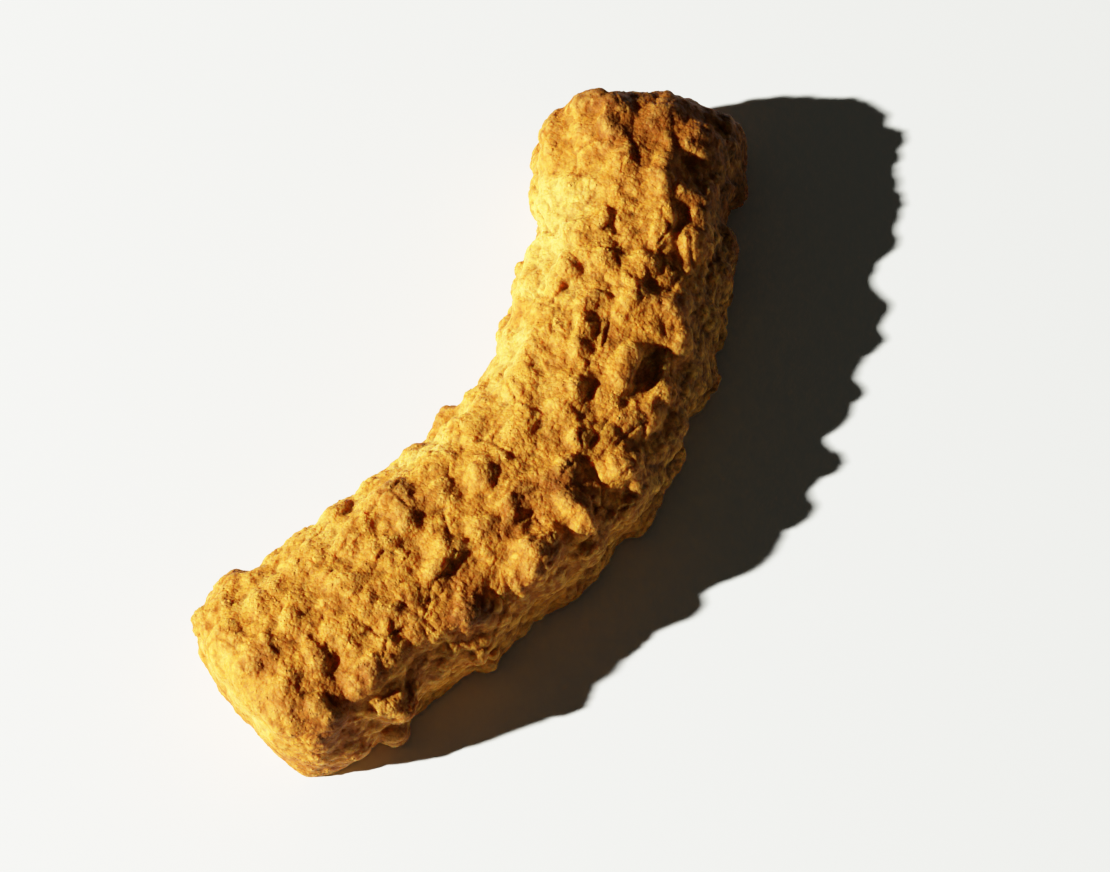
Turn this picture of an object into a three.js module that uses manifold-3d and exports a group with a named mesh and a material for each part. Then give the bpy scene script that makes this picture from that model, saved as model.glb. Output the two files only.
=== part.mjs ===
// A cornmeal cookie: a bar of ridged dough, bent in the middle and baked on a tray, its ridges torn into
// crags. Millimetres, +Z up. The flat underside lies on Z = 0, with the origin under the middle of the box.
// +X runs from the near end to the far end, and the hollow of the bend opens towards +Y.
import * as THREE from "three";
import { ImprovedNoise } from "three/addons/math/ImprovedNoise.js";
import { mergeVertices } from "three/addons/utils/BufferGeometryUtils.js";
import Module from "manifold-3d";

const { degToRad, clamp, lerp, smoothstep, euclideanModulo } = THREE.MathUtils;

// The bar's middle line from the near end to the far end, as stretches that each turn to the left.
const NEAR_ARM = 30.7;
const BEND_RADIUS = 28.5;
const BEND_TURN = degToRad(32.5);
const FAR_ARM = 29.4;
const FAR_TURN = degToRad(18.6);
const STRETCHES = [
  { length: NEAR_ARM, turn: 0 },
  { length: BEND_RADIUS * BEND_TURN, turn: BEND_TURN },
  { length: FAR_ARM, turn: FAR_TURN },
];
const BAR_LENGTH = STRETCHES.reduce((sum, stretch) => sum + stretch.length, 0);

// The section of the smooth dough: a low dome on a belly, which the tray flattens underneath.
// A side's higher power makes a squarer shoulder. The outer side eases from the near arm's to the far arm's.
const CROWN_HEIGHT = 11.0;
const BELLY_HEIGHT = 2.8;
const BELLY_DEPTH = 5.0;
const INNER_SIDE = { reach: 9.6, power: 2.4 };
const NEAR_OUTER_SIDE = { reach: 9.6, power: 3.8 };
const FAR_OUTER_SIDE = { reach: 10.1, power: 2.1 };
const SHOULDER_EASE = { from: NEAR_ARM, to: BAR_LENGTH - FAR_ARM };

// Each end closes over its own length towards END_LEVEL, in height by END_DROOP of its closing in width.
// END_FACE is the blunt face's share of the section.
const NEAR_END = { length: 6.0, power: 3.0 };
const FAR_END = { length: 5.0, power: 4.0 };
const END_FACE = 0.84;
const END_LEVEL = 4.5;
const END_DROOP = 0.7;

// Ridges that the dough was pressed out with, from the inner side of the bend to the outer side.
// Distances round the section are measured from the crown, positive towards the outer side.
const RIDGE_PITCH = 4.3;
const FIRST_RIDGE = -14.6;
const RIDGE_RISES = [1.25, 1.1, 0.95, 0.9, 1.0, 1.05, 1.0, 0.8];
const LUMP_LENGTHS = [2.6, 6.8];
const LUMP_WIDTHS = [0.8, 1.3];
const LUMP_HEIGHTS = [0.55, 1.2];
const LUMP_OVERLAP = 1.2;
const LUMP_STRAY = 0.24;
const LUMP_SLANT = degToRad(26);
const LUMP_SEED = 20;

// Small lumps on the two blunt ends.
const END_LUMPS = 12;
const END_LUMP_SIZES = [3.0, 4.6];
const END_LUMP_RISE = 0.3;

// How lumps merge, how round lumps and hollows are, and the unevenness of the dough between and on them.
const MERGE_POWER = 4;
const LUMP_ROUNDNESS = 0.8;
const HOLLOW_ROUNDNESS = 1.4;
const WARP = { size: 3.6, reach: 1.1 };
const UNEVENNESS = [
  { size: 2.7, height: 0.36 },
  { size: 1.5, height: 0.16 },
];

// The mesh's steps along the bar, across it and up its sides.
const STEPS_ALONG = 108;
const STEPS_ACROSS = 22;
const STEPS_UP = 12;

const COOKIE_GOLD = 0xd8a047;

// A bold crag or hollow: where its middle is along the bar and round the section, its size, and how far it
// stands out or goes in.
const feature = (along, round, length, width, height) => ({ along, round, length, width, height });

const BOLD_CRAGS = [
  feature(2.6, -9.8, 4.4, 5.6, 1.2),
  feature(5.6, 13.8, 3.6, 5.0, 0.9),
  feature(6.4, -11.2, 4.8, 5.2, 1.5),
  feature(9.4, 16.4, 3.6, 5.4, 1.7),
  feature(9.4, 7.1, 5.0, 3.4, 1.2),
  feature(10.9, 11.0, 4.2, 4.2, 2.2),
  feature(20.1, 7.8, 4.8, 4.0, 1.6),
  feature(19.8, 12.0, 3.8, 4.2, 2.0),
  feature(20.6, 16.8, 3.6, 6.0, 1.7),
  feature(28.3, 7.6, 6.4, 5.8, 1.6),
  feature(30.8, 16.8, 4.2, 5.4, 0.9),
  feature(32.2, -12.2, 4.8, 5.8, 1.8),
  feature(33.7, 7.3, 3.0, 5.4, 1.4),
  feature(38.4, 16.6, 4.6, 5.6, 1.0),
  feature(39.0, 7.6, 4.8, 4.2, 1.4),
  feature(45.9, 8.2, 2.6, 2.6, 1.4),
  feature(46.0, 3.2, 6.4, 3.4, 1.3),
  feature(48.4, -1.7, 9.8, 3.2, 1.2),
  feature(50.4, 15.6, 4.8, 6.0, 1.0),
  feature(50.7, 8.0, 5.4, 3.4, 1.3),
  feature(60.0, 6.8, 4.8, 4.6, 1.3),
  feature(65.8, 2.7, 8.6, 4.0, 1.3),
  feature(71.2, 7.2, 2.8, 4.4, 1.3),
  feature(72.6, 12.4, 6.4, 7.0, 1.1),
];

const HOLLOWS = [
  feature(6.0, 10.6, 4.2, 5.2, 1.0),
  feature(15.0, 9.4, 5.2, 5.0, 1.1),
  feature(14.6, 14.6, 6.0, 7.0, 0.7),
  feature(21.6, 4.7, 6.2, 2.6, 1.1),
  feature(24.2, 9.4, 2.8, 6.8, 1.3),
  feature(30.2, 4.9, 4.2, 3.0, 1.0),
  feature(30.0, 0.4, 5.0, 1.9, 0.6),
  feature(36.1, 7.4, 2.4, 5.8, 1.1),
  feature(35.8, -12.6, 2.8, 6.4, 0.9),
  feature(38.6, 0.6, 4.4, 1.9, 0.7),
  feature(45.4, 15.4, 5.8, 7.0, 1.4),
  feature(46.5, 5.5, 8.2, 2.4, 1.2),
  feature(48.2, 0.7, 5.4, 1.9, 0.7),
  feature(57.5, 4.8, 6.2, 2.3, 0.8),
  feature(61.5, -13.2, 5.6, 11.0, 2.0),
  feature(62.2, -5.0, 4.2, 7.6, 1.0),
  feature(65.4, 14.0, 6.0, 10.0, 2.1),
  feature(66.5, 6.4, 4.8, 3.2, 0.8),
  feature(68.2, 0.5, 5.2, 1.8, 0.8),
  feature(71.4, 3.0, 2.0, 3.6, 0.7),
];

// A repeatable stream of numbers from 0 to 1.
function seededDraws(seed) {
  let state = seed;
  return () => {
    state = (state + 0x6d2b79f5) | 0;
    let mixed = Math.imul(state ^ (state >>> 15), 1 | state);
    mixed = (mixed + Math.imul(mixed ^ (mixed >>> 7), 61 | mixed)) ^ mixed;
    return ((mixed ^ (mixed >>> 14)) >>> 0) / 2 ** 32;
  };
}

// The middle line's place and heading, with the first stretch laid out at the given heading.
function walkMiddleLine(along, firstHeading) {
  const place = { x: 0, y: 0, heading: firstHeading };
  let left = along;
  for (const { length, turn } of STRETCHES) {
    const gone = clamp(left, 0, length);
    const chord = turn ? (2 * length * Math.sin((turn * gone) / length / 2)) / turn : gone;
    const direction = place.heading + (turn * gone) / length / 2;
    place.x += chord * Math.cos(direction);
    place.y += chord * Math.sin(direction);
    place.heading += (turn * gone) / length;
    left -= gone;
  }
  return place;
}

// The first heading that brings the far end straight ahead of the near end, along +X.
const farEnd = walkMiddleLine(BAR_LENGTH, 0);
const FIRST_HEADING = -Math.atan2(farEnd.y, farEnd.x);

// A section's outline from the crown round by the outer side, with the distance gone at each sample.
function traceSection(outerSide) {
  const samples = 720;
  const rounded = (value, power) => Math.sign(value) * Math.abs(value) ** (2 / power);
  const outline = [];
  let distance = 0;
  for (let i = 0; i <= samples; i++) {
    const angle = (2 * Math.PI * i) / samples;
    const height = Math.cos(angle) > 0 ? CROWN_HEIGHT - BELLY_HEIGHT : BELLY_DEPTH;
    const { reach, power } = Math.sin(angle) > 0 ? outerSide : INNER_SIDE;
    const point = new THREE.Vector2(
      -reach * rounded(Math.sin(angle), power),
      BELLY_HEIGHT + height * rounded(Math.cos(angle), power),
    );
    if (i) distance += point.distanceTo(outline[i - 1].point);
    outline.push({ point, distance });
  }
  return outline;
}

const NEAR_SECTION = traceSection(NEAR_OUTER_SIDE);
const FAR_SECTION = traceSection(FAR_OUTER_SIDE);
const PERIMETER = NEAR_SECTION.at(-1).distance;

// The point at a share of an outline's length, as its reach to the left and its height.
function outlinePoint(outline, share) {
  const distance = share * outline.at(-1).distance;
  const next = Math.max(1, outline.findIndex((sample) => sample.distance >= distance));
  const [before, after] = [outline[next - 1], outline[next]];
  const step = (distance - before.distance) / (after.distance - before.distance);
  return new THREE.Vector2().lerpVectors(before.point, after.point, step);
}

// The section's point at a place along the bar and a distance round from the crown.
function sectionAt(along, round) {
  const share = euclideanModulo(round / PERIMETER, 1);
  const ease = smoothstep(along, SHOULDER_EASE.from, SHOULDER_EASE.to);
  return outlinePoint(NEAR_SECTION, share).lerp(outlinePoint(FAR_SECTION, share), ease);
}

// The section's scale at a depth from an end, and the depth at which it has a given scale.
const endScale = (end, depth) => (1 - clamp(1 - depth / end.length, 0, 1) ** end.power) ** (1 / end.power);
const endDepth = (end, scale) => end.length * (1 - (1 - scale ** end.power) ** (1 / end.power));
const scaleAt = (along) => endScale(NEAR_END, along) * endScale(FAR_END, BAR_LENGTH - along);
const nearFace = (scale) => endDepth(NEAR_END, scale);
const farFace = (scale) => BAR_LENGTH - endDepth(FAR_END, scale);

// A point of the smooth dough, or inside it where the scale is smaller than the section's there.
function doughPoint(along, round, scale = scaleAt(along)) {
  const place = walkMiddleLine(along, FIRST_HEADING);
  const section = sectionAt(along, round);
  const left = section.x * scale;
  return new THREE.Vector3(
    place.x - left * Math.sin(place.heading),
    place.y + left * Math.cos(place.heading),
    END_LEVEL + (section.y - END_LEVEL) * scale ** END_DROOP,
  );
}

// Where a vertex of a plain block goes on the dough. The block's sides run from -1 to 1, x along the bar.
function shapeBlockPoint(x, y, z) {
  const ring = Math.max(Math.abs(y), Math.abs(z));
  const steps = 2 * (STEPS_ACROSS + STEPS_UP);
  const across = (PERIMETER * STEPS_ACROSS) / steps;
  const up = (PERIMETER * STEPS_UP) / steps;
  let round = 0;
  if (ring > 0 && z >= ring) round = ((-y / ring) * across) / 2;
  else if (ring > 0 && z <= -ring) round = PERIMETER / 2 + ((y / ring) * across) / 2;
  else if (ring > 0) round = -Math.sign(y) * (across / 2 + ((1 - z / ring) * up) / 2);
  if (Math.abs(x) < 1) return doughPoint(lerp(nearFace(END_FACE), farFace(END_FACE), (x + 1) / 2), round);
  const scale = END_FACE * ring;
  return doughPoint(x < 0 ? nearFace(scale) : farFace(scale), round, scale);
}

// A block of even cells, pressed into the shape of the smooth dough.
function smoothDough() {
  const block = new THREE.BoxGeometry(2, 2, 2, STEPS_ALONG, STEPS_ACROSS, STEPS_UP);
  block.deleteAttribute("normal");
  block.deleteAttribute("uv");
  const dough = mergeVertices(block, 1e-5);
  const position = dough.getAttribute("position");
  const corner = new THREE.Vector3();
  for (let i = 0; i < position.count; i++) {
    corner.fromBufferAttribute(position, i);
    position.setXYZ(i, ...shapeBlockPoint(...corner));
  }
  dough.computeVertexNormals();
  return dough;
}

// A lump's middle on the dough with its own three directions, turned by its slant.
function seatLump({ along, round, length, width, height, slant = 0, scale }) {
  const step = 0.2;
  const middle = doughPoint(along, round, scale);
  const lengthways = doughPoint(along + step, round).sub(doughPoint(along - step, round));
  const sideways = doughPoint(along, round + step, scale).sub(doughPoint(along, round - step, scale));
  lengthways.normalize();
  sideways.normalize();
  const outwards = new THREE.Vector3().crossVectors(sideways, lengthways).normalize();
  lengthways.applyAxisAngle(outwards, slant);
  sideways.applyAxisAngle(outwards, slant);
  return { middle, lengthways, sideways, outwards, length, width, height };
}

// How far a lump stands out, or a hollow goes in, at a point: fully at its middle, nothing past its edge.
function lumpHeight(lump, point, roundness) {
  const away = new THREE.Vector3().subVectors(point, lump.middle);
  const a = (2 * away.dot(lump.lengthways)) / lump.length;
  const b = (2 * away.dot(lump.sideways)) / lump.width;
  const c = (2 * away.dot(lump.outwards)) / Math.max(lump.length, lump.width);
  const inside = 1 - a * a - b * b - c * c;
  return inside > 0 ? lump.height * inside ** roundness : 0;
}

// The lumps that each ridge tore into, apart from those whose place a bold crag takes.
function ridgeLumps(draw) {
  const lumps = [];
  const taken = (along, round) =>
    BOLD_CRAGS.some(
      (crag) => Math.hypot((along - crag.along) / crag.length, (round - crag.round) / crag.width) < 0.5,
    );
  RIDGE_RISES.forEach((rise, ridge) => {
    let along = -LUMP_LENGTHS[0] * draw();
    while (along < BAR_LENGTH) {
      const length = lerp(...LUMP_LENGTHS, draw());
      const lump = {
        along: along + length / 2,
        round: FIRST_RIDGE + RIDGE_PITCH * (ridge + lerp(-LUMP_STRAY, LUMP_STRAY, draw())),
        length: length * LUMP_OVERLAP,
        width: RIDGE_PITCH * lerp(...LUMP_WIDTHS, draw()),
        height: rise * lerp(...LUMP_HEIGHTS, draw()),
        slant: lerp(-LUMP_SLANT, LUMP_SLANT, draw()),
      };
      along += length;
      const onBar = lump.along > nearFace(END_FACE) && lump.along < farFace(END_FACE);
      if (onBar && !taken(lump.along, lump.round)) lumps.push(lump);
    }
  });
  return lumps;
}

// Low lumps spread over the two blunt ends.
function endLumps(draw) {
  return Array.from({ length: 2 * END_LUMPS }, (_, i) => {
    const scale = END_FACE * Math.sqrt(draw());
    const size = lerp(...END_LUMP_SIZES, draw());
    return {
      along: i % 2 ? nearFace(scale) : farFace(scale),
      round: lerp(-PERIMETER / 3, PERIMETER / 3, draw()),
      length: size,
      width: size * lerp(0.7, 1.1, draw()),
      height: END_LUMP_RISE * lerp(0.6, 1.3, draw()),
      scale,
    };
  });
}

// The cookie's crags as a height over the smooth dough at any of its points.
function tornRelief() {
  const draw = seededDraws(LUMP_SEED);
  const noise = new ImprovedNoise();
  const crags = [...ridgeLumps(draw), ...endLumps(draw), ...BOLD_CRAGS].map(seatLump);
  const hollows = HOLLOWS.map(seatLump);
  const noiseAt = (point, size, shift) => noise.noise(point.x / size + shift, point.y / size, point.z / size);
  return (point) => {
    const pull = [11, 37, 71].map((shift) => WARP.reach * noiseAt(point, WARP.size, shift));
    const warped = point.clone().add(new THREE.Vector3(...pull));
    let merged = 0;
    for (const crag of crags) merged += lumpHeight(crag, warped, LUMP_ROUNDNESS) ** MERGE_POWER;
    let height = merged ** (1 / MERGE_POWER);
    for (const hollow of hollows) height -= lumpHeight(hollow, warped, HOLLOW_ROUNDNESS);
    for (const { size, height: reach } of UNEVENNESS) height += reach * noiseAt(point, size, 5);
    return height;
  };
}

// The dough with its crags raised along its own normals.
function tornDough() {
  const dough = smoothDough();
  const relief = tornRelief();
  const position = dough.getAttribute("position");
  const normal = dough.getAttribute("normal");
  const point = new THREE.Vector3();
  const outwards = new THREE.Vector3();
  for (let i = 0; i < position.count; i++) {
    point.fromBufferAttribute(position, i);
    outwards.fromBufferAttribute(normal, i);
    point.addScaledVector(outwards, relief(point));
    position.setXYZ(i, ...point);
  }
  dough.deleteAttribute("normal");
  return dough;
}

const wasm = await Module();
wasm.setup();

// A closed geometry with merged vertices as a solid, and a solid as a geometry.
function solidFrom(geometry) {
  return new wasm.Manifold(
    new wasm.Mesh({
      numProp: 3,
      vertProperties: new Float32Array(geometry.getAttribute("position").array),
      triVerts: new Uint32Array(geometry.index.array),
    }),
  );
}

function geometryFrom(solid) {
  const { vertProperties, triVerts } = solid.getMesh();
  const geometry = new THREE.BufferGeometry();
  geometry.setAttribute("position", new THREE.BufferAttribute(new Float32Array(vertProperties), 3));
  geometry.setIndex(new THREE.BufferAttribute(new Uint32Array(triVerts), 1));
  return geometry;
}

// The tray's flat top takes everything below Z = 0 off the dough.
function bakedOnTray(dough) {
  const size = 2 * BAR_LENGTH;
  const tray = new THREE.BoxGeometry(size, size, size).translate(0, 0, -size / 2);
  tray.translate(BAR_LENGTH / 2, 0, 0);
  tray.deleteAttribute("normal");
  tray.deleteAttribute("uv");
  return geometryFrom(solidFrom(dough).subtract(solidFrom(mergeVertices(tray))));
}

// The finished cookie, with its box's bottom centre at the origin.
function makeCookie() {
  const geometry = bakedOnTray(tornDough());
  geometry.computeBoundingBox();
  const middle = geometry.boundingBox.getCenter(new THREE.Vector3());
  geometry.translate(-middle.x, -middle.y, 0);
  geometry.computeVertexNormals();
  const crust = new THREE.MeshStandardMaterial({ color: COOKIE_GOLD, roughness: 0.9, metalness: 0 });
  const cookie = new THREE.Mesh(geometry, crust);
  cookie.name = "cookie";
  return cookie;
}

const part = new THREE.Group();
part.add(makeCookie());

export default part;
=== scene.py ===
import math

import bmesh
import bpy
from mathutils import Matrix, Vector


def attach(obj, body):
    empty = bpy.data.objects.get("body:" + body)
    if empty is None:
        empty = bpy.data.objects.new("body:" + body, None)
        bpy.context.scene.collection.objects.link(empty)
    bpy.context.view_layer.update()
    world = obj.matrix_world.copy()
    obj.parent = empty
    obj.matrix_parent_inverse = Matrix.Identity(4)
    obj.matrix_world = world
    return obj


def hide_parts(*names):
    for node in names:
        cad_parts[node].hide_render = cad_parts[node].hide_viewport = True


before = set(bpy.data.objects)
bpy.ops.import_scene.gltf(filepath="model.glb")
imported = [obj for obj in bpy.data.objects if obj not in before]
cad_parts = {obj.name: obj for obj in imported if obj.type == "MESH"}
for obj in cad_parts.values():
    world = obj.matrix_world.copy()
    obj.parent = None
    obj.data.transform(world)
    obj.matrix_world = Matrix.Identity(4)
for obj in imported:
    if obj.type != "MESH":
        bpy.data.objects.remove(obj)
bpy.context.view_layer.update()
mm = 0.001
print("frame loaded:", sorted(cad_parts))


class Wire:
    # a node's output that takes part in Python arithmetic
    def __init__(self, graph, socket):
        self.graph = graph
        self.socket = socket

    def calc(self, operation, *others):
        return self.graph.make("ShaderNodeMath", {"operation": operation}, [self, *others])

    def vector(self, operation, *others, **named):
        values = {0: self, **dict(enumerate(others, 1)), **named}
        output = "Value" if operation in ("DOT_PRODUCT", "DISTANCE") else "Vector"
        return self.graph.make("ShaderNodeVectorMath", {"operation": operation}, values, output)

    def axis(self, name):
        return self.graph.make("ShaderNodeSeparateXYZ", None, [self], name)

    def step(self, low, high):
        # 0 at low, 1 at high, eased between them
        settings = {"interpolation_type": "SMOOTHSTEP"}
        values = {"Value": self, "From Min": low, "From Max": high}
        return self.graph.make("ShaderNodeMapRange", settings, values)

    def also(self, name):
        return Wire(self.graph, findSocket(self.socket.node.outputs, name))

    def __add__(self, other):
        return self.calc("ADD", other)

    def __sub__(self, other):
        return self.calc("SUBTRACT", other)

    def __rsub__(self, other):
        return self.graph.make("ShaderNodeMath", {"operation": "SUBTRACT"}, [other, self])

    def __mul__(self, other):
        return self.calc("MULTIPLY", other)

    def __truediv__(self, other):
        return self.calc("DIVIDE", other)

    def __rtruediv__(self, other):
        return self.graph.make("ShaderNodeMath", {"operation": "DIVIDE"}, [other, self])

    __radd__ = __add__
    __rmul__ = __mul__


class Graph:
    # a node tree that grows one node at a time
    def __init__(self, tree):
        self.tree = tree

    def make(self, kind, settings=None, values=(), output=0):
        node = self.tree.nodes.new(kind)
        for name, value in (settings or {}).items():
            setattr(node, name, value)
        pairs = values.items() if isinstance(values, dict) else enumerate(values)
        for key, value in pairs:
            socket = findSocket(node.inputs, key)
            if isinstance(value, Wire):
                self.tree.links.new(value.socket, socket)
            else:
                socket.default_value = value
        return Wire(self, findSocket(node.outputs, output)) if node.outputs else node

    def noise(self, place, size, detail=2.0):
        values = {"Vector": place, "Scale": 1 / size, "Detail": detail}
        return self.make("ShaderNodeTexNoise", None, values)

    def sway(self, place, size, detail=2.0):
        # noise about zero, mostly between -1 and 1
        return (self.noise(place, size, detail) - 0.5) * 2.6

    def strew(self, place, size, reach):
        # places shifted at random, so that cells lose their even outlines
        stray = self.noise(place, size).also("Color").vector("SUBTRACT", (0.5, 0.5, 0.5))
        return place.vector("ADD", stray.vector("SCALE", Scale=reach))

    def cells(self, place, size, feature="F1", **more):
        values = {"Vector": place, "Scale": 1 / size, **more}
        return self.make("ShaderNodeTexVoronoi", {"feature": feature}, values, "Distance")

    def domes(self, place, size, melt):
        # crumbs pressed together, round on top and zero half a cell out, with creases that melt away
        away = self.cells(place, size, "SMOOTH_F1", Smoothness=melt)
        return (0.25 - away * away) * 3

    def blur(self, value, passes):
        # a vector evened out over its neighbours
        values = {"Value": value, "Iterations": passes}
        return self.make("GeometryNodeBlurAttribute", {"data_type": "FLOAT_VECTOR"}, values)

    def shift(self, geometry, offset):
        return self.make("GeometryNodeSetPosition", None, {"Geometry": geometry, "Offset": offset})

    def keep(self, geometry, name, value, domain="POINT"):
        # a named attribute, for the material
        settings = {"data_type": "FLOAT", "domain": domain}
        values = {"Geometry": geometry, "Name": name, "Value": value}
        return self.make("GeometryNodeStoreNamedAttribute", settings, values)

    def mix(self, factor, first, second, blend="MIX"):
        settings = {"data_type": "RGBA", "blend_type": blend}
        values = {"Factor_Float": factor, "A_Color": first, "B_Color": second}
        return self.make("ShaderNodeMix", settings, values, "Result_Color")


def findSocket(sockets, key):
    if isinstance(key, int):
        return sockets[key]
    exact = [s for s in sockets if s.identifier == key]
    return (exact or [s for s in sockets if s.name == key and s.enabled])[0]


def srgb(red, green, blue):
    # a colour given as on screen, as the linear one that a shader takes
    def linear(value):
        share = value / 255
        return share / 12.92 if share <= 0.04045 else ((share + 0.055) / 1.055) ** 2.4

    return (linear(red), linear(green), linear(blue), 1.0)


def addObject(name, data):
    added = bpy.data.objects.new(name, data)
    bpy.context.scene.collection.objects.link(added)
    return added


def growPiece(name, mesh, build, sizes, material):
    # runs a Geometry Nodes tree over a mesh and leaves the plain result
    piece = addObject(name, mesh)
    tree = bpy.data.node_groups.new(name + "Tree", "GeometryNodeTree")
    sockets = tree.interface
    sockets.new_socket("Geometry", in_out="INPUT", socket_type="NodeSocketGeometry")
    keys = {}
    for key, value in sizes.items():
        kind = "NodeSocketInt" if isinstance(value, int) else "NodeSocketFloat"
        keys[key] = sockets.new_socket(key, in_out="INPUT", socket_type=kind).identifier
    sockets.new_socket("Geometry", in_out="OUTPUT", socket_type="NodeSocketGeometry")
    graph = Graph(tree)
    start = graph.make("NodeGroupInput")
    given = {key: start.also(identifier) for key, identifier in keys.items()}
    grown = build(graph, start.also("Geometry"), given)
    real = graph.make("GeometryNodeRealizeInstances", None, [grown])
    painted = graph.make("GeometryNodeSetMaterial", None, {"Geometry": real, "Material": material})
    graph.make("NodeGroupOutput", None, [painted])
    modifier = piece.modifiers.new(name, "NODES")
    modifier.node_group = tree
    for key, value in sizes.items():
        modifier[keys[key]] = value
    depsgraph = bpy.context.evaluated_depsgraph_get()
    result = bpy.data.meshes.new_from_object(
        piece.evaluated_get(depsgraph), preserve_all_data_layers=True, depsgraph=depsgraph
    )
    piece.modifiers.remove(modifier)
    piece.data = result
    result.name = name
    print(name, "has", sum(len(p.vertices) - 2 for p in result.polygons), "triangles")
    return piece


# the dough's form: the solid's own shape in fine even cells
doughForm = {
    "merge": 0.001 * mm,
    "cell": 0.23 * mm,
    "rounding": 8,
    "roundingShare": 0.5,
    "underside": 0.01 * mm,
}


def makeDough():
    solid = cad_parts["cookie"].data.copy()
    mesh = bmesh.new()
    mesh.from_mesh(solid)
    bmesh.ops.remove_doubles(mesh, verts=mesh.verts, dist=doughForm["merge"])
    mesh.to_mesh(solid)
    mesh.free()
    holder = addObject("dough", solid)
    cells = holder.modifiers.new("cells", "REMESH")
    cells.mode = "VOXEL"
    cells.voxel_size = doughForm["cell"]
    rounding = holder.modifiers.new("rounding", "SMOOTH")
    rounding.factor = doughForm["roundingShare"]
    rounding.iterations = doughForm["rounding"]
    depsgraph = bpy.context.evaluated_depsgraph_get()
    dough = bpy.data.meshes.new_from_object(holder.evaluated_get(depsgraph), depsgraph=depsgraph)
    bpy.data.objects.remove(holder)
    # the flat underside becomes one face
    mesh = bmesh.new()
    mesh.from_mesh(dough)
    under = [f for f in mesh.faces if all(v.co.z < doughForm["underside"] for v in f.verts)]
    bmesh.ops.dissolve_faces(mesh, faces=under)
    for face in mesh.faces:
        face.smooth = True
    mesh.to_mesh(dough)
    mesh.free()
    print("dough has", len(dough.polygons), "faces")
    return dough


outerSide = (0.62, -0.78, 0.0)  # the way the outside of the bend looks

# the torn crust, in millimetres; shares, facings and passes are plain numbers
crustSizes = {
    "hollowFill": 0.9,  # how far hollows are filled and lumps eased, towards the smoothed form
    "hollowFull": -0.3,
    "lumpEase": 0.05,
    "lumpFull": 0.3,
    "endEase": 0.4,
    "calmEnd": -37.0,  # the near end is smoother than the rest
    "calmLength": 5.0,
    "endTorn": 0.35,
    "endFine": 0.6,
    "wallFine": 0.6,
    "wallLean": 0.75,
    "wallSteep": 0.3,
    "footStart": 0.05,
    "footHeight": 0.9,
    "warpSize": 1.9,
    "warpReach": 0.8,
    "swellSize": 4.0,
    "swellHeight": 0.32,
    "clumpSize": 2.3,
    "clumpHeight": 0.155,
    "clumpMelt": 0.22,
    "crumbSize": 1.1,
    "crumbHeight": 0.085,
    "crumbMelt": 0.12,
    "grainSize": 0.62,
    "grainHeight": 0.02,
    "layerLength": 5.0,
    "layerStep": 1.1,
    "layerHeight": 0.2,
    "poreSpacing": 2.1,
    "poreRadius": 0.4,
    "poreDepth": 0.14,
    "poreShare": 0.22,
    "wallPores": 0.4,
    "crackSpacing": 4.4,
    "crackWidth": 0.22,
    "crackDepth": 0.24,
    "crackPatch": 3.08,
    "crackShut": 0.5,
    "crackOpen": 0.6,
    "riseBlur": 217,
    "nookBlur": 10,
}


def standing(graph, position, normal, passes):
    # how far the face stands out of its smoothed self, in millimetres
    return position.vector("SUBTRACT", graph.blur(position, passes)).vector("DOT_PRODUCT", normal) / mm


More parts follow.
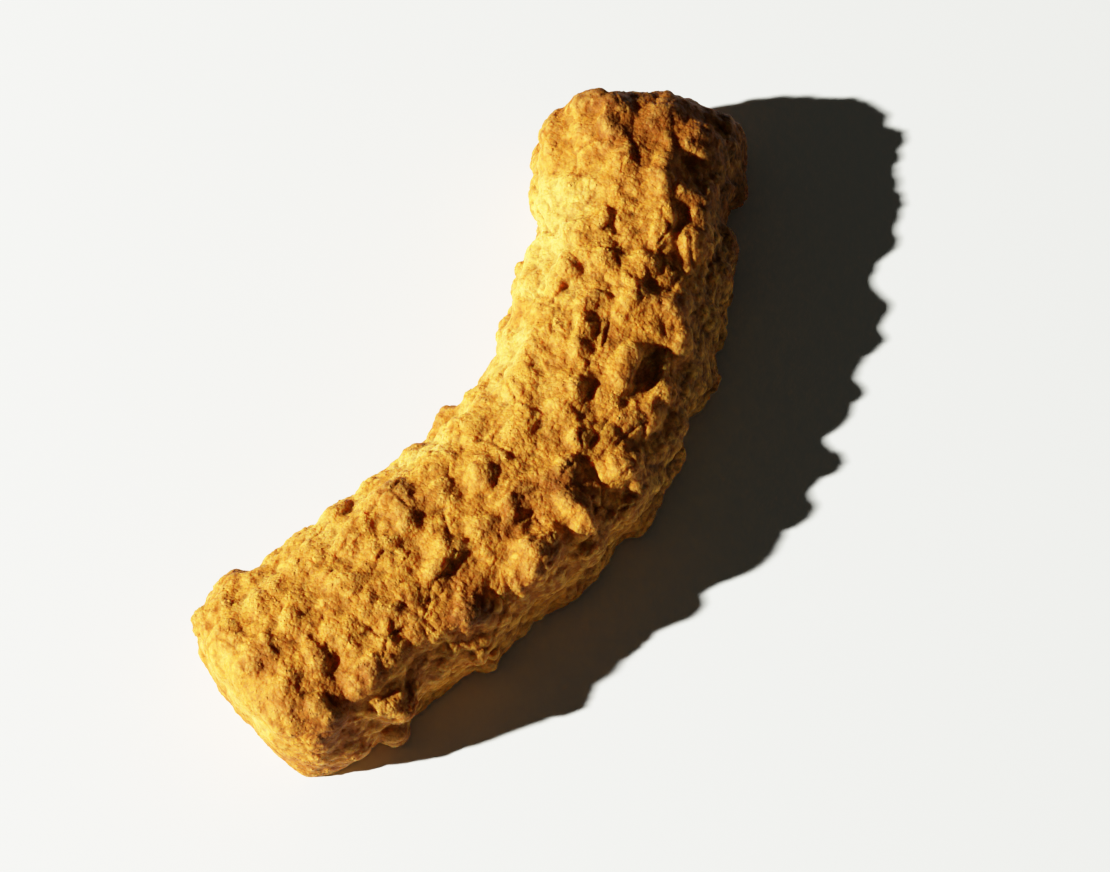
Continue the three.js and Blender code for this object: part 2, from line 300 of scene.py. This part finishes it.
def tornCrust(graph, geometry, given):
    position = graph.make("GeometryNodeInputPosition")
    normal = graph.make("GeometryNodeInputNormal")
    place = position.vector("SCALE", Scale=1 / mm)
    warped = graph.strew(place, given["warpSize"], given["warpReach"])
    calm = place.axis("X").step(given["calmEnd"], given["calmEnd"] + given["calmLength"])
    foot = place.axis("Z").step(given["footStart"], given["footHeight"])  # the lower edge stays put
    wall = graph.blur(normal, given["riseBlur"]).axis("Z").step(given["wallLean"], given["wallSteep"])

    # the solid's hollows are mostly filled and its lumps eased
    raised = standing(graph, position, normal, given["riseBlur"])
    lumpEase = given["lumpEase"] * calm + given["endEase"] * (1 - calm)
    hollowEase = raised.step(0.0, given["hollowFull"]) * given["hollowFill"]
    ease = hollowEase + raised.step(0.0, given["lumpFull"]) * lumpEase
    pull = graph.blur(position, given["riseBlur"]).vector("SUBTRACT", position)
    # the depth of each hollow is kept, so that the material can paint shade where it was filled
    marked = graph.keep(geometry, "hollow", raised)
    filled = graph.shift(marked, pull.vector("SCALE", Scale=ease * foot))

    swell = graph.sway(place, given["swellSize"], detail=3.0) * given["swellHeight"]
    clump = graph.domes(warped, given["clumpSize"], given["clumpMelt"]) * given["clumpHeight"]
    crumb = graph.domes(warped, given["crumbSize"], given["crumbMelt"]) * given["crumbHeight"]
    grain = graph.domes(place, given["grainSize"], given["crumbMelt"]) * given["grainHeight"]

    # rough layers along the side walls
    flat = 1 / given["layerLength"]
    squash = graph.make("ShaderNodeCombineXYZ", None, [flat, flat, 1 / given["layerStep"]])
    layer = graph.sway(warped.vector("MULTIPLY", squash), 1.0) * given["layerHeight"] * wall

    # pores, more and deeper on the walls
    pores = graph.cells(place, given["poreSpacing"])
    chance = pores.also("Color").axis("X")
    mouth = (pores * given["poreSpacing"]).step(given["poreRadius"], 0.0)
    share = given["poreShare"] + wall * given["wallPores"]
    pore = mouth * chance.calc("LESS_THAN", share) * given["poreDepth"] * (1 + wall)

    # short cracks, open only in patches
    edge = graph.cells(warped, given["crackSpacing"], "DISTANCE_TO_EDGE") * given["crackSpacing"]
    opened = graph.noise(place, given["crackPatch"]).step(given["crackShut"], given["crackOpen"])
    crack = edge.step(given["crackWidth"], 0.0) * opened * given["crackDepth"]

    coarse = (swell + clump + layer - crack) * (given["endTorn"] + calm * (1 - given["endTorn"]))
    fineShare = given["endFine"] + calm * (1 - given["endFine"]) + wall * given["wallFine"]
    fine = (crumb + grain) * fineShare
    reach = (coarse + fine - pore) * foot * mm
    torn = graph.shift(filled, normal.vector("SCALE", Scale=reach))
    marks = {
        "rise": standing(graph, position, normal, given["riseBlur"]),
        # how far a crumb stands out of its neighbours; the material paints shade in its creases and
        # light on its crests by it
        "nook": standing(graph, position, normal, given["nookBlur"]),
        # how far the broad face turns to the outside of the bend, away from the lamp; the material
        # paints shade on that side and light on the other
        "outer": graph.blur(normal, given["riseBlur"]).vector("DOT_PRODUCT", outerSide),
        # how far each small face turns away from the lamp; the material paints shade on those sides by
        # it
        "leeShade": graph.blur(normal, given["nookBlur"]).vector("DOT_PRODUCT", outerSide),
    }
    for name, value in marks.items():
        torn = graph.keep(torn, name, value)
    return torn


# grains of meal that stand out of the crust, in millimetres
grainSizes = {
    "perSquareMm": 2.5,
    "smallest": 0.25,
    "largest": 0.5,
    "slim": 0.85,
    "stout": 1.2,
    "shallow": 0.3,  # how far a grain sinks in, as a share of its size
    "deep": 0.44,
    "clear": 0.3,  # none this near to the underside
    "leeNone": 0.5,  # none on the shaded sides or in the hollows
    "riseNone": -0.1,
    "riseFull": 0.3,
    "palest": 2.0,
    "seed": 7,
}


def mealGrains(graph, geometry, given):
    def mark(name):
        return graph.make("GeometryNodeInputNamedAttribute", {"data_type": "FLOAT"}, [name], "Attribute")

    def chance(low, high, salt):
        values = {"Min_001": low, "Max_001": high, "Seed": given["seed"] + salt}
        return graph.make("FunctionNodeRandomValue", {"data_type": "FLOAT"}, values, "Value_001")

    def chances(low, high, salt):
        values = {"Min": low, "Max": high, "Seed": given["seed"] + salt}
        return graph.make("FunctionNodeRandomValue", {"data_type": "FLOAT_VECTOR"}, values, "Value")

    def alike(value):
        return graph.make("ShaderNodeCombineXYZ", None, [value] * 3)

    height = graph.make("GeometryNodeInputPosition").axis("Z") / mm
    lit = mark("leeShade").step(given["leeNone"], 0.0)
    raised = mark("rise").step(given["riseNone"], given["riseFull"])
    spots = height.step(given["clear"], given["clear"] * 2) * lit * raised
    points = graph.make(
        "GeometryNodeDistributePointsOnFaces",
        {"distribute_method": "RANDOM"},
        {"Mesh": geometry, "Density": spots * given["perSquareMm"] / (mm * mm), "Seed": given["seed"]},
    )
    ball = graph.make("GeometryNodeMeshIcoSphere", None, {"Radius": 0.5 * mm, "Subdivisions": 1})
    grain = graph.make("GeometryNodeSetShadeSmooth", None, {"Geometry": ball})
    size = chance(given["smallest"], given["largest"], 1)
    girth = chances(alike(given["slim"]), alike(given["stout"]), 2).vector("SCALE", Scale=size)
    turn = chances((0.0, 0.0, 0.0), (math.tau, math.tau, math.tau), 3)
    depth = size * chance(given["shallow"], given["deep"], 5) * -mm
    bedded = graph.shift(points, points.also("Normal").vector("SCALE", Scale=depth))
    values = {"Points": bedded, "Instance": grain, "Rotation": turn, "Scale": girth}
    spread = graph.make("GeometryNodeInstanceOnPoints", None, values)
    return graph.keep(spread, "shade", chance(0.0, given["palest"], 4), "INSTANCE")


# the baked crust: colours given as on screen, places and sizes in millimetres;
# a pair says where something begins and where it is full
crustBake = {
    # pale is the less baked dough, and also painted light on the inner side that faces the lamp and on
    # the crests of crumbs
    "pale": srgb(230, 175, 76),
    "gold": srgb(198, 127, 40),
    # toast is baked browning, and also painted shade in hollows, creases and the gaps between grains
    "toastAndShade": srgb(146, 80, 19),
    # scorch darkens where the bake and its painted shade add up highest
    "scorch": srgb(98, 51, 9),
    # wall is painted shade: a duller, darker brown for the outer wall, which faces away from the lamp
    "wall": srgb(148, 106, 46),
    "broadSize": 9.0,
    "patchSize": 2.4,
    "fineSize": 0.28,
    "straySize": 0.5,
    "strayReach": 0.28,
    "beadSize": 0.68,  # the crumb's grains come in three sizes
    "smallSize": 0.44,
    "speckSize": 0.27,
    "beadPatch": 2.0,
    "beadPart": (0.4, 0.6),
    # the inner side faces the lamp and the outer wall faces away from it
    "innerFacing": (0.2, -0.5),
    "wallFacing": (0.35, 0.8),
    "ends": (26.0, 37.0),
    "head": (21.0, 27.0),
    "low": (8.0, 0.5),
    "foldPlace": (18.5, 7.0, 8.5),  # the pale fold at the neck
    "foldReach": (6.5, 2.0),
    "browned": [  # spots that caught the heat, with their reach
        ((-9.5, -7.2, 11.0), 5.0),
        ((-5.0, -8.5, 11.0), 4.0),
        ((-14.6, 3.5, 11.2), 4.0),
        ((-20.3, -7.5, 11.0), 4.0),
        ((-31.8, -2.4, 11.0), 3.5),
        ((-3.9, 6.2, 6.3), 3.0),
        ((8.7, 5.3, 7.8), 2.5),
        ((-36.0, -3.0, 9.0), 4.0),
    ],
    "brownedCore": 0.3,
    "bakeAndShadeShares": {  # what makes a spot darker, and how much: baking, and painted shade on the shaded sides of lumps and on the outside of the bend, which turn from the lamp
        "rise": 0.8,
        "patch": 1.5,
        "broad": 1.0,
        "leeShade": 0.35,
        "outer": 0.3,
        "ends": 0.25,
        "fold": -0.8,
        "head": 0.55,
        "browned": 0.6,
        "low": 0.4,
    },
    "paleBake": (0.1, -0.7),
    "headPale": 0.6,
    "toastBake": (0.0, 0.8),
    "toastShare": 0.9,
    # painted shade where the hollows were filled
    "hollowDepth": (-0.1, -0.6),
    "hollowShadeShare": 0.75,
    "lowShare": 0.55,
    "wallShare": 0.8,
    # painted shade in the creases between crumbs
    "creaseDepth": (0.0, -0.1),
    "creaseShadeShare": 0.5,
    # painted light on the crests of crumbs
    "crestHeight": (0.0, 0.1),
    "crestLightShare": 0.4,
    # painted shade in the gaps between the crumb's grains
    "gapReach": (0.35, 0.75),
    "gapShadeShare": 0.16,
    "scorchBake": (0.7, 1.5),
    "scorchShare": 0.8,
    "fineUneven": 0.4,  # how much the crumb varies in brightness
    "beadUneven": 0.25,
    "speckUneven": 0.35,
    "lowUneven": 0.6,
    "grainPale": 0.1,
    # painted shade in the creases of the outer wall
    "wallCrease": (0.0, -0.12),
    "wallCreaseShade": 0.6,
    "roughLeast": 0.5,
    "roughSpan": 0.3,
    "beadRound": 0.85,
    "speckRound": 0.35,
    "sandDepth": 0.165 * mm,
    "gloss": 0.1,
    "softRadius": (1.6, 0.55, 0.15),
    "softScale": 1.0 * mm,
    "crustSoft": 0.7,
    "grainSoft": 0.0,
}


def newMaterial(name):
    material = bpy.data.materials.new(name)
    material.use_nodes = True
    material.node_tree.nodes.clear()
    return material, Graph(material.node_tree)


def finishMaterial(graph, values):
    shader = graph.make("ShaderNodeBsdfPrincipled", None, values)
    graph.make("ShaderNodeOutputMaterial", None, [shader])


def bakedCrust(name, soft):
    material, graph = newMaterial(name)
    bake = crustBake

    def mark(attribute):
        return graph.make("ShaderNodeAttribute", {"attribute_name": attribute}, (), "Fac")

    place = graph.make("ShaderNodeTexCoord", None, (), "Object").vector("SCALE", Scale=1 / mm)
    along = place.axis("X")
    nook = mark("nook")
    outer = mark("outer")
    inner = outer.step(*bake["innerFacing"])
    wall = outer.step(*bake["wallFacing"])
    head = along.step(*bake["head"])
    low = place.axis("Z").step(*bake["low"]) * inner

    # the crumb's grains
    fine = graph.noise(place, bake["fineSize"])
    strewn = graph.strew(place, bake["straySize"], bake["strayReach"])
    beads = graph.cells(strewn, bake["beadSize"])
    small = graph.cells(strewn, bake["smallSize"])
    specks = graph.cells(strewn, bake["speckSize"])
    grit = beads + (small - beads) * graph.noise(place, bake["beadPatch"]).step(*bake["beadPart"])

    # how dark each spot is: baked browning, and painted shade on the sides that turn from the lamp
    browned = 0.0
    for spot, reach in bake["browned"]:
        near = place.vector("DISTANCE", spot).step(reach, reach * bake["brownedCore"])
        browned = near.calc("MAXIMUM", browned)
    heatAndShade = {
        "rise": mark("rise"),
        "patch": graph.noise(place, bake["patchSize"], detail=1.0) - 0.5,
        "broad": graph.noise(place, bake["broadSize"]) - 0.5,
        # painted shade on the sides of lumps that turn from the lamp
        "leeShade": mark("leeShade"),
        # painted shade on the outside of the bend, which turns from the lamp
        "outer": outer,
        "ends": along.calc("ABSOLUTE").step(*bake["ends"]),
        "fold": place.vector("DISTANCE", bake["foldPlace"]).step(*bake["foldReach"]),
        "head": head,
        "browned": browned,
        "low": low,
    }
    bakeAndShade = sum(heatAndShade[cause] * share for cause, share in bake["bakeAndShadeShares"].items())

    # tones laid over the gold in turn: baked colour, with painted light and shade: pale on the inner
    # side that faces the lamp and on crumb crests, toast in filled hollows, creases and grain gaps, and
    # the wall tone on the outer wall
    coats = [
        ("pale", bakeAndShade.step(*bake["paleBake"]) * inner * (1 - head * bake["headPale"])),
        ("toastAndShade", bakeAndShade.step(*bake["toastBake"]) * bake["toastShare"]),
        ("toastAndShade", mark("hollow").step(*bake["hollowDepth"]) * bake["hollowShadeShare"]),
        ("toastAndShade", low * bake["lowShare"]),
        ("wall", wall * bake["wallShare"]),
        ("toastAndShade", nook.step(*bake["creaseDepth"]) * bake["creaseShadeShare"]),
        ("pale", nook.step(*bake["crestHeight"]) * bake["crestLightShare"]),
        ("toastAndShade", grit.step(*bake["gapReach"]) * bake["gapShadeShare"]),
        ("scorch", bakeAndShade.step(*bake["scorchBake"]) * bake["scorchShare"]),
    ]
    tone = bake["gold"]
    for coat, cover in coats:
        tone = graph.mix(cover, tone, bake[coat])

    # each grain a little lighter or darker than the next
    uneven = (fine - 0.5) * bake["fineUneven"]
    uneven = uneven + (beads.also("Color").axis("X") - 0.5) * bake["beadUneven"]
    uneven = uneven + (specks.also("Color").axis("X") - 0.5) * bake["speckUneven"]
    bright = 1 + uneven * (1 + wall + low * bake["lowUneven"]) + mark("shade") * bake["grainPale"]
    # painted shade: the creases on the outer wall made darker
    bright = bright * (1 - nook.step(*bake["wallCrease"]) * wall * bake["wallCreaseShade"])
    grey = graph.make("ShaderNodeCombineColor", None, [bright, bright, bright])
    tone = graph.mix(1.0, tone, grey, "MULTIPLY")

    sand = 1 - grit * grit * bake["beadRound"] - specks * specks * bake["speckRound"]
    bumpValues = {"Height": sand, "Distance": bake["sandDepth"], "Strength": 1.0}
    finishMaterial(graph, {
        "Base Color": tone,
        "Roughness": bake["roughLeast"] + fine * bake["roughSpan"],
        "Normal": graph.make("ShaderNodeBump", None, bumpValues),
        "Specular IOR Level": bake["gloss"],
        "Subsurface Weight": soft,
        "Subsurface Radius": bake["softRadius"],
        "Subsurface Scale": bake["softScale"],
    })
    return material


crustFinish = bakedCrust("bakedCrust", crustBake["crustSoft"])
crust = growPiece("cookieCrust", makeDough(), tornCrust, crustSizes, crustFinish)
grainFinish = bakedCrust("toastedMeal", crustBake["grainSoft"])
grains = growPiece("mealGrains", crust.data.copy(), mealGrains, grainSizes, grainFinish)
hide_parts("cookie")
for piece in (crust, grains):
    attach(piece, "root")
print("cookie dressed")


# camera and light, from the photograph's view; the picture is 1110 by 872
viewing = {
    "azimuth": math.radians(-59.42),
    "elevation": math.radians(66),
    "target": Vector((2.515, -2.879, 0)) * mm,
    "distance": 287.4 * mm,
    "sensor": 36.0,
    "lens": 97.3,
    "nearest": 0.01,
}


def placeCamera():
    camera = addObject("camera", bpy.data.cameras.new("camera"))
    turn, lift = viewing["azimuth"], viewing["elevation"]
    back = Vector((math.sin(turn) * math.cos(lift), -math.cos(turn) * math.cos(lift), math.sin(lift)))
    camera.location = viewing["target"] + back * viewing["distance"]
    camera.rotation_euler = (-back).to_track_quat("-Z", "Y").to_euler()
    camera.data.sensor_width = viewing["sensor"]
    camera.data.lens = viewing["lens"]
    camera.data.clip_start = viewing["nearest"]
    bpy.context.scene.camera = camera


# lengths in metres
studio = {
    "floorTone": srgb(246, 248, 240),
    "floorRoughness": 0.9,
    "floorSize": 3.0,
    "keyFrom": Vector((-1.475, 1.533, 1.08)),
    "keyDistance": 1.5,
    "keySize": 0.035,
    "keyPower": 47.0,
    "skyTone": (0.92, 0.9, 0.8, 1.0),
    "skyStrength": 0.0185,
}


def lightStudio():
    mesh = bpy.data.meshes.new("floor")
    half = studio["floorSize"] / 2
    corners = [(-half, -half, 0), (half, -half, 0), (half, half, 0), (-half, half, 0)]
    mesh.from_pydata(corners, [], [(0, 1, 2, 3)])
    floor = addObject("floor", mesh)
    material, graph = newMaterial("paleFloor")
    finishMaterial(graph, {"Base Color": studio["floorTone"], "Roughness": studio["floorRoughness"]})
    mesh.materials.append(material)
    lamp = bpy.data.lights.new("key", "AREA")
    lamp.energy = studio["keyPower"]
    lamp.size = studio["keySize"]
    key = addObject("key", lamp)
    aim = studio["keyFrom"].normalized()
    key.location = aim * studio["keyDistance"]
    key.rotation_euler = (-aim).to_track_quat("-Z", "Y").to_euler()
    world = bpy.data.worlds.new("sky")
    world.use_nodes = True
    sky = world.node_tree.nodes["Background"]
    sky.inputs["Color"].default_value = studio["skyTone"]
    sky.inputs["Strength"].default_value = studio["skyStrength"]
    bpy.context.scene.world = world


# how the picture answers to light: dark tones a little deeper, lights eased off towards white
response = {"halfway": 0.455, "contrast": 1.16, "brightest": 2.5, "stops": 12}


def setResponse():
    def answer(light):
        return 1 - math.exp(-((light / response["halfway"]) ** response["contrast"]))

    view = bpy.context.scene.view_settings
    view.view_transform = "Standard"
    view.use_curve_mapping = True
    mapping = view.curve_mapping
    mapping.white_level = [response["brightest"]] * 3
    points = mapping.curves[3].points  # the curve for all three colours at once
    points[-1].location = (1.0, answer(response["brightest"]))
    for stop in range(1, response["stops"]):
        share = (stop / response["stops"]) ** 2
        points.new(share, answer(share * response["brightest"]))
    mapping.update()


placeCamera()
lightStudio()
setResponse()
print("camera and light placed")
